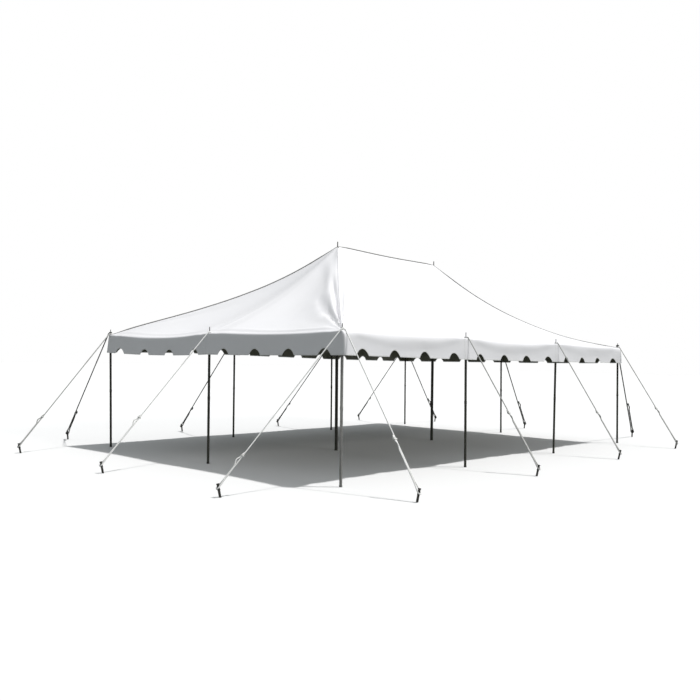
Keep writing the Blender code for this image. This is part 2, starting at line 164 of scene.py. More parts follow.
class Nodes:
    """Short hand for a material's nodes."""

    def __init__(self, name):
        self.material = bpy.data.materials.new(name)
        self.material.use_nodes = True
        self.tree = self.material.node_tree
        self.shader = self.tree.nodes["Principled BSDF"]
        self.place = self.add("ShaderNodeTexCoord").outputs["Object"]

    def add(self, kind, **values):
        node = self.tree.nodes.new(kind)
        for key, value in values.items():
            setattr(node, key, value)
        return node

    def link(self, output, node, socket):
        self.tree.links.new(output, node.inputs[socket])

    def scaled_place(self, scale):
        node = self.add("ShaderNodeMapping")
        node.inputs["Scale"].default_value = scale
        self.link(self.place, node, "Vector")
        return node.outputs["Vector"]

    def noise(self, scale, detail=4.0, roughness=0.5, stretch=None):
        node = self.add("ShaderNodeTexNoise")
        node.inputs["Scale"].default_value = scale
        node.inputs["Detail"].default_value = detail
        node.inputs["Roughness"].default_value = roughness
        self.link(self.scaled_place(stretch) if stretch else self.place, node, "Vector")
        return node.outputs["Fac"]

    def ramp(self, factor, *stops):
        node = self.add("ShaderNodeValToRGB")
        points = node.color_ramp.elements
        while len(points) < len(stops):
            points.new(0.5)
        for point, (position, colour) in zip(points, stops):
            point.position = position
            point.color = (*colour, 1) if len(colour) == 3 else (colour[0],) * 3 + (1,)
        self.link(factor, node, "Fac")
        return node.outputs["Color"]

    def mix(self, factor, first, second, blend="MIX"):
        node = self.add("ShaderNodeMix", data_type="RGBA", blend_type=blend)
        for socket, value in ((0, factor), (6, first), (7, second)):
            if isinstance(value, bpy.types.NodeSocket):
                self.tree.links.new(value, node.inputs[socket])
            elif isinstance(value, tuple):
                node.inputs[socket].default_value = (*value, 1)
            else:
                node.inputs[socket].default_value = value
        return node.outputs[2]

    def range(self, value, low, high, to_low, to_high):
        node = self.add("ShaderNodeMapRange")
        for socket, number in (("From Min", low), ("From Max", high), ("To Min", to_low), ("To Max", to_high)):
            node.inputs[socket].default_value = number
        self.link(value, node, "Value")
        return node.outputs["Result"]

    def bump(self, height, strength, distance, under=None):
        node = self.add("ShaderNodeBump")
        node.inputs["Strength"].default_value = strength
        node.inputs["Distance"].default_value = distance
        self.link(height, node, "Height")
        if under:
            self.link(under, node, "Normal")
        return node.outputs["Normal"]

    def set(self, **values):
        for key, value in values.items():
            socket = key.replace("_", " ").title().replace("Ior", "IOR")
            if isinstance(value, bpy.types.NodeSocket):
                self.link(value, self.shader, socket)
            else:
                self.shader.inputs[socket].default_value = value


def vinyl_material(name, clean, soiled, soil_share):
    nodes = Nodes(name)
    broad = nodes.noise(0.9, detail=5, roughness=0.6)
    soil = nodes.ramp(broad, (0.42, (0,)), (0.85, (soil_share,)))
    colour = nodes.mix(soil, clean, soiled)
    creased = nodes.noise(7, detail=6, roughness=0.65)
    weave = nodes.noise(420, detail=1)
    normal = nodes.bump(creased, 0.10, 0.01)
    normal = nodes.bump(weave, 0.12, 0.0004, under=normal)
    nodes.set(base_color=colour, roughness=nodes.range(broad, 0.3, 0.7, 0.42, 0.56), normal=normal)
    nodes.set(specular_ior_level=0.35)
    return nodes.material


def rope_material(name, clean, soiled):
    nodes = Nodes(name)
    fibres = nodes.noise(900, detail=3)
    wear = nodes.noise(5, detail=4)
    colour = nodes.mix(nodes.ramp(wear, (0.45, (0,)), (0.75, (0.5,))), clean, soiled)
    nodes.set(base_color=colour, roughness=0.8, normal=nodes.bump(fibres, 0.35, 0.0005))
    nodes.set(sheen_weight=0.3)
    return nodes.material


def steel_material(name, dark, pale, rust, rust_share, metallic, rough, gloss=0.5):
    """Galvanised or forged steel with streaks down its length, blooms and some rust."""
    nodes = Nodes(name)
    streaks = nodes.noise(30, detail=5, roughness=0.6, stretch=(1, 1, 0.08))
    spangle = nodes.add("ShaderNodeTexVoronoi")
    spangle.inputs["Scale"].default_value = 190
    nodes.link(nodes.place, spangle, "Vector")
    colour = nodes.mix(nodes.ramp(streaks, (0.3, (0,)), (0.7, (1,))), dark, pale)
    colour = nodes.mix(nodes.range(spangle.outputs["Distance"], 0, 0.7, 0.0, 0.35), colour, pale)
    rusting = nodes.noise(11, detail=8, roughness=0.7)
    patches = nodes.ramp(rusting, (0.62, (0,)), (0.72, (rust_share,)))
    colour = nodes.mix(patches, colour, rust)
    nodes.set(base_color=colour, metallic=metallic, specular_ior_level=gloss)
    nodes.set(roughness=nodes.range(rusting, 0.35, 0.75, rough, rough + 0.25))
    nodes.set(normal=nodes.bump(nodes.noise(60, detail=6), 0.15, 0.001))
    return nodes.material


def plain_material(name, colour, roughness, metallic=0.0, grain=40.0, strength=0.1):
    nodes = Nodes(name)
    tone = nodes.noise(grain, detail=5)
    darker = tuple(0.75 * c for c in colour)
    nodes.set(base_color=nodes.mix(nodes.range(tone, 0.3, 0.7, 0, 1), colour, darker))
    nodes.set(roughness=nodes.range(tone, 0.3, 0.7, roughness, min(1, roughness + 0.15)), metallic=metallic)
    nodes.set(normal=nodes.bump(tone, strength, 0.001))
    return nodes.material


def stitched_material(name, colour, width, margin):
    """Doubled cloth with two rows of stitches, each a margin from an edge of the strip."""
    nodes = Nodes(name)
    map_place = nodes.add("ShaderNodeUVMap", uv_map="on_strip").outputs["UV"]
    parts = nodes.add("ShaderNodeSeparateXYZ")
    nodes.link(map_place, parts, "Vector")

    def sum_of(operation, first, *others):
        node = nodes.add("ShaderNodeMath", operation=operation)
        nodes.link(first, node, 0)
        for k, other in enumerate(others):
            node.inputs[k + 1].default_value = other
        return node.outputs[0]

    from_edge = sum_of("PINGPONG", parts.outputs["Y"], width / 2)
    row = sum_of("COMPARE", from_edge, margin, 0.0006)
    dash = sum_of("LESS_THAN", sum_of("FRACT", sum_of("DIVIDE", parts.outputs["X"], 0.006)), 0.68)
    stitch = nodes.add("ShaderNodeMath", operation="MULTIPLY")
    nodes.link(row, stitch, 0)
    nodes.link(dash, stitch, 1)
    weave = nodes.noise(600, detail=2)
    wear = nodes.ramp(nodes.noise(6, detail=5), (0.4, (0,)), (0.8, (0.3,)))
    cloth = nodes.mix(wear, colour, tuple(0.8 * c for c in colour))
    nodes.set(base_color=nodes.mix(stitch.outputs[0], cloth, tuple(0.72 * c for c in colour)), roughness=0.6)
    normal = nodes.bump(weave, 0.25, 0.0004)
    nodes.set(normal=nodes.bump(stitch.outputs[0], 0.6, 0.0008, under=normal))
    return nodes.material


HEM_WIDTH = 0.019
SEAM_WIDTH = 0.016
VINYL = vinyl_material("vinyl_outside", (0.86, 0.855, 0.875), (0.74, 0.73, 0.73), 0.35)
HEM = stitched_material("hem_binding", (0.80, 0.80, 0.80), HEM_WIDTH, 0.004)
SEAM = stitched_material("seam_tape", (0.84, 0.84, 0.84), SEAM_WIDTH, 0.004)
# The sheet's inner face is painted shade: a dark olive grey that stands for the shade under the canopy, darker than
# the vinyl's own colour.
VINYL_INSIDE_PAINTED_SHADE = vinyl_material("vinyl_inside_painted_shade", (0.12, 0.12, 0.08), (0.09, 0.09, 0.06), 0.6)
ROPE = rope_material("polyester_rope", (0.94, 0.94, 0.92), (0.74, 0.73, 0.71))
# Darker copies of the one white rope, as painted shade: dimmed on the front, grey on the right, near black at the
# back and left.
ROPE_PAINTED_DIM = rope_material("rope_painted_dim", (0.50, 0.50, 0.48), (0.36, 0.35, 0.33))
ROPE_PAINTED_GREY = rope_material("rope_painted_grey", (0.55, 0.55, 0.53), (0.36, 0.35, 0.34))
ROPE_SHADED = rope_material("rope_painted_dark", (0.045, 0.045, 0.04), (0.03, 0.03, 0.025))
# Tube steel with painted shade: its near-black tones stand for the shade on the poles, darker than galvanised steel's
# own grey.
POLE_STEEL_PAINTED_SHADE = steel_material("galvanised_tube_painted_shade", (0.020, 0.020, 0.016), (0.060, 0.060, 0.050), (0.08, 0.04, 0.02), 0.35,
                            0.15, 0.60, gloss=0.25)
# A lighter copy of the tube steel for the near pole, painted as if lit.
NEAR_STEEL_PAINTED_LIGHT = steel_material("tube_painted_lit", (0.13, 0.13, 0.125), (0.24, 0.24, 0.23), (0.10, 0.05, 0.03), 0.35,
                            0.5, 0.42)
# Forged steel is dark of its own, and its tones are darkened further still as painted shade.
STAKE_STEEL_PAINTED_SHADE = steel_material("forged_steel_painted_shade", (0.010, 0.010, 0.008), (0.030, 0.028, 0.024), (0.06, 0.028, 0.014), 0.7,
                             0.25, 0.6)
ZINC = plain_material("zinc_grommet", (0.45, 0.45, 0.44), 0.35, metallic=0.9, grain=120)
SLIDER_PLASTIC = plain_material("slider_nylon", (0.78, 0.78, 0.75), 0.45)
# Grey welt cloth, darkened beyond its own tone to paint the shaded line along the ridge and the far hips.
WEBBING_AND_PAINTED_SHADE = plain_material("webbing_and_painted_shade", (0.29, 0.29, 0.28), 0.85, grain=500, strength=0.4)


# The sheet's form

def peak_over(name):
    return "front" if POLE_PLACE[name].y < TENT_MIDDLE.y else "back"


def eave_place(name):
    place = POLE_PLACE[name].copy()
    away = place - TENT_MIDDLE
    past = CORNER_OVERHANG.get(name, MIDDLE_OVERHANG)
    if abs(away.x) > BAY / 2:
        place.x += math.copysign(past, away.x)
    if abs(away.y) > BAY:
        place.y += math.copysign(past, away.y)
    return place


CORNER_ROUND = 0.013


def rounded(place, corner, along, across):
    """A point within a corner's reach is moved on to its arc. along runs away from the corner on the
    point's own side, and across on the other."""
    far = (place - corner).dot(along)
    if far >= CORNER_ROUND:
        return place, None
    angle = math.pi / 4 * (1 - far / CORNER_ROUND)
    centre = corner + (along + across) * CORNER_ROUND
    outward = -across * math.cos(angle) - along * math.sin(angle)
    return centre + outward * CORNER_ROUND, outward


def overhangs(bay):
    """How far a bay's eave runs past its two poles."""
    return [CORNER_OVERHANG.get(AROUND[(bay + k) % len(AROUND)], 0) for k in (0, 1)]


def moved_notches(bay, distance):
    """Where a point of an evenly notched bay comes to lie: its notches move whole, and the rest stretches."""
    places, shifts = [0], [0]
    for k, shift in enumerate(NOTCH_SHIFTS[bay]):
        middle = (k + 0.5) * NOTCH_PITCH
        places += [middle - NOTCH_HALF_WIDTH, middle + NOTCH_HALF_WIDTH]
        shifts += [shift, shift]
    return distance + float(np.interp(distance, places + [BAY], shifts + [0]))


def neighbour_over(name, side):
    """The side that meets this one at a corner."""
    away = POLE_PLACE[name] - TENT_MIDDLE
    if side in ("front", "back"):
        return "right" if away.x > 0 else "left"
    return "back" if away.y > 0 else "front"


def column_at(bay, station):
    """The line of the sheet that runs from the ridge down to a point of the eave, at a station along
    the bay. The poles stand a little off their places, so a bay is measured by its share."""
    first, second = AROUND[bay], AROUND[(bay + 1) % len(AROUND)]
    side = SIDE_OF_BAY[bay]
    start, end = eave_place(first), eave_place(second)
    past = overhangs(bay)
    length = BAY + sum(past)
    reach = past[0] + moved_notches(bay, station - past[0])
    t = reach / length
    run = (end - start).normalized()
    sagging = EAVE_SAG[bay] * bump(t) * (1 + EAVE_SAG_SKEW * (2 * t - 1))
    edge = start.lerp(end, t) - OUTWARD[side] * EAVE_BOW * bump(t)
    outward = (OUTWARD[side] + run * EAVE_BOW * 4 * (1 - 2 * t) / length).normalized()
    for name, corner, along in ((first, start, run), (second, end, -run)):
        if name in CORNERS:
            edge, turned = rounded(edge, corner, along, -OUTWARD[side])
            outward = turned or outward
    ridge = PEAK_PLACE[peak_over(first)].lerp(PEAK_PLACE[peak_over(second)], t)
    back_share = (ridge.y - PEAK_PLACE["front"].y) / (PEAK_PLACE["back"].y - PEAK_PLACE["front"].y)
    ridge_height = PEAK_HEIGHT["front"] * (1 - back_share) + PEAK_HEIGHT["back"] * back_share
    sags = [HIP_SAG.get(name, MIDDLE_POLE_SAG) for name in (first, second)]
    skews = [HIP_SKEW.get(name, MIDDLE_POLE_SKEW) for name in (first, second)]
    corners = sorted((r, name) for name, r in ((first, reach), (second, length - reach)) if name in CORNERS)
    to_pole = min(reach, length - reach)
    hem_lift = HEM_LIFT.get(first, 0) * (1 - t) + HEM_LIFT.get(second, 0) * t
    return {
        "edge": Vector((edge.x, edge.y, EAVE_HEIGHT - sagging)),
        "ridge": Vector((ridge.x, ridge.y, ridge_height - RIDGE_SAG * bump(back_share) ** 2)),
        "outward": Vector((outward.x, outward.y, 0)),
        "sag": sags[0] * (1 - t) + sags[1] * t,
        "skew": skews[0] * (1 - t) + skews[1] * t,
        "panel": PANEL_SAG * math.sin(math.pi * t) ** 2,
        "level": LEVEL_AT_EAVE * (1 - float(smooth(0.03, 0.4, to_pole))),
        "slack": bump(t),
        "side": side,
        "beside": neighbour_over(corners[0][1], side) if corners else side,
        "to_corner": corners[0][0] if corners else 9,
        "to_pole": to_pole,
        "distance": station - past[0],
        "inside": past[0] < station < length - past[1],
        "hem_lift": hem_lift + HEM_LIFT_OF_BAY[bay] * bump(t),
        "ripple": EAVE_FOLD[bay],
        "undercut": UNDERCUT[bay],
        "roll": ROLL_AT_POLE + ROLL_ADDED[bay] * float(smooth(0, 0.8, to_pole)),
    }


def slope_point(column, share):
    down = (share - LEVEL_AT_RIDGE) / (1 - column["level"] - LEVEL_AT_RIDGE)
    down = min(max(down, 0), 1)
    point = column["ridge"].lerp(column["edge"], share)
    level = column["ridge"].z * (1 - down) + column["edge"].z * down
    hang = column["sag"] * (1 + column["skew"] * (1 - 2 * down))
    hang += column["panel"] * (1 + PANEL_SKEW * (1 - 2 * down))
    point.z = level - hang * bump(down)
    return point


# Stations along half a bay, from a pole to the middle. The roof uses those marked, and the valance
# and the roll of the eave use all of them.
NEAR_POLE = (0, 0.006, 0.013, 0.021, 0.031, 0.043, 0.058, 0.077, 0.1, 0.125, 0.15, 0.178, 0.206, 0.23)
NEAR_POLE_ROOF = (0, 0.013, 0.031, 0.058, 0.1, 0.125, 0.15, 0.178, 0.206, 0.23)


def half_bay_stations(overhang):
    """(distance from the end of the bay's eave, whether the roof has a column there)"""
    stations = [(d, d in NEAR_POLE_ROOF) for d in NEAR_POLE]
    for notch in (NOTCH_PITCH / 2, NOTCH_PITCH * 3 / 2):
        for k in range(-10, 11):
            every = 2 if notch < NOTCH_PITCH and k < 0 else 4
            stations.append((overhang + notch + k * NOTCH_HALF_WIDTH / 10, k % every == 0))
        if notch < NOTCH_PITCH:
            for k in range(1, 10):
                flat = NOTCH_PITCH - 2 * NOTCH_HALF_WIDTH
                stations.append((overhang + notch + NOTCH_HALF_WIDTH + flat * k / 10, k % 3 == 0))
    flat = NOTCH_PITCH / 2 - NOTCH_HALF_WIDTH
    stations += [(overhang + NOTCH_PITCH * 3 / 2 + NOTCH_HALF_WIDTH + flat * k / 5, k == 3) for k in range(1, 5)]
    return stations


def bay_stations(bay):
    past = overhangs(bay)
    length = BAY + sum(past)
    first = half_bay_stations(past[0])
    second = [(length - d, used) for d, used in half_bay_stations(past[1])]
    return first + [(past[0] + BAY / 2, True)] + second[:0:-1]


# Folds that fan out from a side pole over the slopes: degrees from the line that runs up to the peak
# (positive clockwise from above), length, height, and width in degrees
CORNER_FOLDS = ((2.0, 3.3, -0.095, 0.85), (2.6, 5.4, 0.030, 1.5), (4.7, 2.8, 0.032, 1.2), (7.8, 2.6, -0.050, 1.4),
                (12.0, 2.0, 0.010, 2.0), (-2.7, 3.0, 0.022, 0.8), (-9, 1.4, -0.004, 3), (-15, 1.1, 0.004, 4),
                (20, 1.8, -0.008, 2.5))
FOLD_SIDE = {"front_right": -1, "front_left": 1, "back_right": 1, "back_left": -1}
FOLD_STRENGTH = {"front_right": 1, "front_left": 0.3, "back_right": 0.35, "back_left": 0.5}
MIDDLE_FOLDS = ((-9, 0.9, -0.003, 4), (7, 1.1, -0.003, 4), (-24, 0.8, -0.003, 6), (22, 0.7, -0.003, 6),
                (0, 1.6, 0.003, 3), (-48, 0.7, 0.004, 8), (46, 0.8, 0.004, 8))
# How wide each hip is rounded, by its corner and in its upper half
HIP_ROUNDING = {"front_right": (0.04, 0.24), "front_left": (0.02, 0.04), "back_right": (0.02, 0.04),
                "back_left": (0.03, 0.08)}
HIP_SLOPE = 0.33
HIP_FADE = 0.7


def fold_relief(x, y):
    """Height that the folds and the rounding of the hips add to the sheet at plan points, as arrays."""
    relief = np.zeros_like(x)
    for name in AROUND:
        place = POLE_PLACE[name]
        up = PEAK_PLACE[peak_over(name)] - place
        far = np.hypot(x - place.x, y - place.y)
        angle = np.degrees(np.arctan2(y - place.y, x - place.x) - math.atan2(up.y, up.x))
        angle = -((angle + 180) % 360 - 180)
        along = far * np.cos(np.radians(angle))
        if name in CORNERS:
            angle *= FOLD_SIDE[name]
            across = np.abs(far * np.sin(np.radians(angle)))
            narrow, wide = HIP_ROUNDING[name]
            width = narrow + (wide - narrow) * smooth(0.3, 0.62, along / up.length)
            lift = across - np.sqrt(across ** 2 + width ** 2) + width
            lift *= HIP_SLOPE * np.exp(-(across / HIP_FADE) ** 2)
            relief += lift * smooth(0.05, 0.7, along) * smooth(0.0, 0.9, up.length - along)
        strength = FOLD_STRENGTH.get(name, 1)
        for degrees, length, height, width in CORNER_FOLDS if name in CORNERS else MIDDLE_FOLDS:
            reach = bump(np.clip(far / length, 0, 1)) ** 0.8 * smooth(0.0, 0.6, up.length - along)
            relief += strength * height * reach * np.exp(-((angle - degrees) / width) ** 2)
    return relief


ROOF_EDGE_ROWS = (0, 0.014, 0.028, 0.043, 0.059, 0.076, 0.094, 0.113, 0.133, 0.155, 0.18, 0.21, 0.245, 0.285, 0.33)
ROOF_ROWS = 48
# The eave's roll starts its reach inside the edge, and ends plumb under the edge
ROLL_AT_POLE = 0.022
ROLL_ADDED = (0.008, 0.008, 0.070, 0.045, 0.018, 0.008, 0.008, 0.050, 0.050, 0.050)  # at mid-bay
ROLL_LEAST_SLOPE = 0.42
ROLL_DROPS = (0.22, 0.55, 1.0, 1.6, 2.6)
VALANCE_ROWS = 8
SHEET = 0.001
EAVE_FOLD = (0.5, 1.0, 0.15, 0.15, 0.15, 0.7, 0.5, 0.15, 0.15, 0.15)  # by bay


def roll_start(column):
    """Where a column's roll starts, and how steeply the slope comes down to it."""
    length = (column["edge"] - column["ridge"]).to_2d().length
    share = 1 - column["roll"] / length
    start = slope_point(column, share)
    above = slope_point(column, share - 0.01)
    return start, max((above.z - start.z) / (0.01 * length), ROLL_LEAST_SLOPE)


def noise_field(x, y, scale, seed):
    return np.array([[noise.noise((px * scale, py * scale, seed)) for px, py in zip(row_x, row_y)]
                     for row_x, row_y in zip(x, y)])


def roof_points(columns):
    """Points of each column from the ridge to the start of the eave's roll, with the folds."""
    points = np.zeros((len(columns), ROOF_ROWS, 3))
    from_edge = np.zeros((len(columns), ROOF_ROWS))
    from_ridge = np.zeros((len(columns), ROOF_ROWS))
    upper = ROOF_ROWS - len(ROOF_EDGE_ROWS)
    for k, column in enumerate(columns):
        length = (column["edge"] - column["ridge"]).to_2d().length
        reach = column["roll"]
        last = 1 - (reach + ROOF_EDGE_ROWS[-1]) / length
        shares = [last * (j / upper) ** 0.96 for j in range(upper)]
        shares += [1 - (reach + d) / length for d in ROOF_EDGE_ROWS[::-1]]
        for j, share in enumerate(shares):
            points[k, j] = slope_point(column, share)
            from_edge[k, j] = (1 - share) * length - reach
            from_ridge[k, j] = share * length
    slack = np.array([c["slack"] for c in columns])[:, None]
    ripple = np.array([c["ripple"] for c in columns])[:, None]
    x, y = points[:, :, 0], points[:, :, 1]
    held = smooth(0.02, 0.15, from_edge) * smooth(0.05, 0.6, from_ridge)
    smile = -0.014 * np.exp(-((from_edge - 0.085) / 0.035) ** 2) + 0.012 * np.exp(-((from_edge - 0.175) / 0.045) ** 2)
    relief = fold_relief(x, y) * smooth(0.0, 0.06, from_edge)
    relief += smile * ripple * slack ** 0.5 * smooth(0.0, 0.03, from_edge)
    relief += (0.010 * noise_field(x, y, 0.9, 3.0) + 0.0025 * noise_field(x, y, 3.1, 8.0)) * held
    points[:, :, 2] += relief
    return points


# How fast the valance stands out as it falls: at a corner and at mid-bay
FLARE = {"front": (0.02, 0.045), "right": (0.06, 0.09), "back": (0.03, 0.05), "left": (0.15, 0.08)}
CORNER_PUFF = {"right": 0.045}  # how far the sheet springs out just below the eave
UNDERCUT = (0, 0, 0.05, 0.045, 0.015, 0, 0, 0.04, 0.04, 0.04)  # by bay
CORNER_SHARE = 0.25  # how far along its own side a corner follows the other side's flare


def valance_flare(side, to_corner, to_pole, drop, undercut=0):
    """How far the hanging sheet stands out at a drop below the pole tops. It hangs plumb or leans in down
    to a fold that falls away from each pole's top, and flares out below it."""
    at_corner, at_bay = FLARE[side]
    rate = at_bay + (at_corner - at_bay) * math.exp(-to_corner / 0.45)
    fold = 0.02 + 0.32 * to_pole * math.exp(-to_pole / 2.0)
    below = drop - fold
    puff = CORNER_PUFF.get(side, 0) * math.exp(-to_corner / 0.3) * (1 - math.exp(-max(drop, 0) / 0.035))
    return puff + rate * 0.5 * (below + math.sqrt(below ** 2 + 0.03 ** 2)) - undercut * min(max(drop, 0), fold)


def stand_out(column, drop):
    """The hanging sheet's offset from a plumb line, as a vector."""
    seed = 11.0 * len(column["side"])
    billow = 0.007 * noise.noise((column["distance"] * 0.9, drop * 2.2, seed))
    billow += 0.004 * noise.noise((column["distance"] * 2.6, drop * 5.0, seed / 2))
    billow *= float(smooth(0.02, 0.15, drop) * smooth(0.0, 0.3, column["to_corner"]))
    own = valance_flare(column["side"], column["to_corner"], column["to_pole"], drop, column["undercut"])
    offset = OUTWARD[column["side"]] * (own + billow)
    if column["to_corner"] < CORNER_SHARE:
        share = 1 - float(smooth(0, CORNER_SHARE, column["to_corner"]))
        offset = offset + OUTWARD[column["beside"]] * share * valance_flare(column["beside"], 0, 0, drop)
    return offset.to_3d()


def notch_rise(distance):
    offset = distance % NOTCH_PITCH - NOTCH_PITCH / 2
    if abs(offset) >= NOTCH_HALF_WIDTH:
        return 0
    return NOTCH_DEPTH * (1 - abs(offset / NOTCH_HALF_WIDTH) ** NOTCH_SHOULDER) ** NOTCH_FULLNESS


def valance_bottom(column):
    return VALANCE_BOTTOM + column["hem_lift"] + (notch_rise(column["distance"]) if column["inside"] else 0)


def hanging_point(column, start, slope, z):
    """The point of a column at a height below the start of the eave's roll."""
    reach = column["roll"]
    out = reach * (1 - math.exp((z - start.z) / (reach * slope)))
    place = start + column["outward"] * out + stand_out(column, EAVE_HEIGHT - z) * min(1, (start.z - z) / 0.03)
    return Vector((place.x, place.y, z))


def hanging_points(column):
    """Points of a column round the eave's roll and down the valance."""
    start, slope = roll_start(column)
    heights = [start.z - column["roll"] * slope * drop for drop in ROLL_DROPS]
    top, bottom = heights[-1], valance_bottom(column)
    heights += [top + (bottom - top) * (row / VALANCE_ROWS) for row in range(1, VALANCE_ROWS + 1)]
    return [hanging_point(column, start, slope, z) for z in heights]


def build_canopy():
    """The whole sheet: four slopes, the roll of the eave and the scalloped valance in one piece."""
    columns = []
    in_roof = []
    for bay in range(len(AROUND)):
        for reach, used in bay_stations(bay):
            columns.append(column_at(bay, reach))
            in_roof.append(used)
    roof = roof_points([c for c, used in zip(columns, in_roof) if used])
    verts = [tuple(p) for line in roof for p in line]
    faces = grid_faces(len(roof), ROOF_ROWS, True)
    first_hanging = len(verts)
    last_row = {k: n * ROOF_ROWS + ROOF_ROWS - 1 for n, k in enumerate(i for i, used in enumerate(in_roof) if used)}
    rows = len(ROLL_DROPS) + VALANCE_ROWS
    for column in columns:
        verts += [tuple(point) for point in hanging_points(column)]
    faces += [tuple(first_hanging + i for i in face) for face in grid_faces(len(columns), rows, True)]
    used = sorted(last_row)
    for k, after in zip(used, used[1:] + [used[0] + len(columns)]):
        below = [first_hanging + (i % len(columns)) * rows for i in range(k, after + 1)]
        faces.append((last_row[k], *below, last_row[after % len(columns)]))
    canopy = add_mesh("canopy_sheet", verts, faces, [VINYL, VINYL_INSIDE_PAINTED_SHADE])
    shape = bmesh.new()
    shape.from_mesh(canopy.data)
    bmesh.ops.remove_doubles(shape, verts=shape.verts, dist=0.0002)
    bmesh.ops.dissolve_degenerate(shape, edges=shape.edges, dist=0.0001)
    bmesh.ops.triangulate(shape, faces=[f for f in shape.faces if len(f.verts) > 4])
    shape.to_mesh(canopy.data)
    tree = BVHTree.FromBMesh(shape)
    area = sum(face.calc_area() for face in shape.faces)
    shape.free()
    thicken(canopy, SHEET)
    return canopy, tree, area, columns


def thicken(obj, thickness):
    """The modelled face is the outer one; the far face takes the second material."""
    solidify = obj.modifiers.new("thickness", "SOLIDIFY")
    solidify.thickness = thickness
    solidify.offset = -1
    solidify.material_offset = 1 if len(obj.data.materials) > 1 else 0
    made = obj.evaluated_get(bpy.context.evaluated_depsgraph_get())
    mesh = bpy.data.meshes.new_from_object(made)
    obj.modifiers.clear()
    obj.data = mesh
    mesh.set_sharp_from_angle(angle=math.radians(55))


def finish_piece(obj, slot, *replaced):
    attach(obj, "root")
    if replaced:
        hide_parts(*replaced)
    return obj


# Welted seams

WELT_HEIGHT = 0.020
NEAR_WELT_HEIGHT = 0.010
WELT_THICKNESS = 0.003
BEAD_RADIUS = 0.0045


def welt_strip(name, line, height, material_and_shade):
    """A strip that stands on the sheet along a line, with a cord folded into its top, lower at its ends."""
    section = [(-WELT_THICKNESS / 2, -0.002), (-WELT_THICKNESS / 2, height - 2.2 * BEAD_RADIUS)]
    for k in range(9):
        angle = math.radians(215 - k * 31.25)
        section.append((BEAD_RADIUS * math.cos(angle), height - BEAD_RADIUS + BEAD_RADIUS * math.sin(angle)))
    section += [(WELT_THICKNESS / 2, height - 2.2 * BEAD_RADIUS), (WELT_THICKNESS / 2, -0.002)]
    points = []
    for k, point in enumerate(line):
        ahead = line[min(k + 1, len(line) - 1)] - line[max(k - 1, 0)]
        side = ahead.cross(Vector((0, 0, 1))).normalized()
        up = side.cross(ahead).normalized()
        rise = 0.35 + 0.65 * float(smooth(0, 8, min(k, len(line) - 1 - k)))
        points += [point + side * s + up * h * rise for s, h in section]
    faces = []
    count = len(section)
    for k in range(len(line) - 1):
        for j in range(count):
            after = (j + 1) % count
            faces.append((k * count + j, k * count + after, (k + 1) * count + after, (k + 1) * count + j))
    faces.append(tuple(range(count - 1, -1, -1)))
    faces.append(tuple((len(line) - 1) * count + j for j in range(count)))
    welt = add_mesh(name, points, faces, [material_and_shade])
    welt.data.set_sharp_from_angle(angle=math.radians(40))
    return finish_piece(welt, "vinyl")


def build_welts(tree):
    ends = {f"hip_welt_{name}": (POLE_PLACE[name], PEAK_PLACE[peak_over(name)]) for name in CORNERS}
    ends["ridge_welt"] = (PEAK_PLACE["front"], PEAK_PLACE["back"])
    welts = []
    for name, (low, high) in ends.items():
        length = (high - low).length
        away = 0.028 if name == "ridge_welt" else 0.022
        line = []
        for k in range(91):
            share = (away + (length - away - 0.028) * k / 90) / length
            place = low.lerp(high, share)
            line.append(Vector((place.x, place.y, height_on(tree, place.x, place.y))))
        # The near hip's welt takes the white vinyl. The others take the darkened webbing, which paints a shaded line
        # along them.
        if name == "hip_welt_front_right":
            welts.append(welt_strip(name, line, NEAR_WELT_HEIGHT, VINYL))
        else:
            welts.append(welt_strip(name, line, WELT_HEIGHT, WEBBING_AND_PAINTED_SHADE))
    return welts


# Hem and seams

def strip_mesh(name, sections, across, material, closed=False):
    """A strip through closed sections of four points each; across gives their places over its width."""
    far = 0
    places = []
    for k, section in enumerate(sections):
        far += (section[1] - sections[max(k - 1, 0)][1]).length
        places += [(far, a) for a in across]
    faces = []
    for k in range(len(sections) if closed else len(sections) - 1):
        here, there = 4 * k, 4 * ((k + 1) % len(sections))
        faces += [(here + j, there + j, there + (j + 1) % 4, here + (j + 1) % 4) for j in range(4)]
    if not closed:
        last = 4 * (len(sections) - 1)
        faces += [(0, 1, 2, 3), (last + 3, last + 2, last + 1, last)]
    strip = add_mesh(name, [p for section in sections for p in section], faces, [material], places)
    strip.data.set_sharp_from_angle(angle=math.radians(50))
    return finish_piece(strip, "vinyl")


def build_hem(columns):
    """The binding folded round the edge of the valance."""
    sections = []
    for column in columns:
        start, slope = roll_start(column)
        bottom = valance_bottom(column)
        low = hanging_point(column, start, slope, bottom)
        high = hanging_point(column, start, slope, bottom + HEM_WIDTH)
        out, back = column["outward"] * 0.0013, column["outward"] * (SHEET + 0.0013)
        below = Vector((0, 0, -0.0015))
        sections.append((high + out, low + out + below, low - back + below, high - back))
    return strip_mesh("valance_hem", sections, (0, HEM_WIDTH, HEM_WIDTH, 0), HEM, closed=True)


def seam_tape(name, line, tree):
    """A tape that lies on the sheet along a line of points near it."""
    snapped = [tree.find_nearest(point) for point in line]
    sections = []
    for k, (point, normal, *_) in enumerate(snapped):
        ahead = snapped[min(k + 1, len(line) - 1)][0] - snapped[max(k - 1, 0)][0]
        side = ahead.cross(normal).normalized() * SEAM_WIDTH / 2
        left, right = [tree.find_nearest(point + offset)[0] for offset in (-side, side)]
        sections.append((left - normal * 0.0004, left + normal * 0.0009, right + normal * 0.0009,
                         right - normal * 0.0004))
    return strip_mesh(name, sections, (0, 0, SEAM_WIDTH, SEAM_WIDTH), SEAM)


SEAM_ASIDE = 0.09  # from a pole, back along the eave


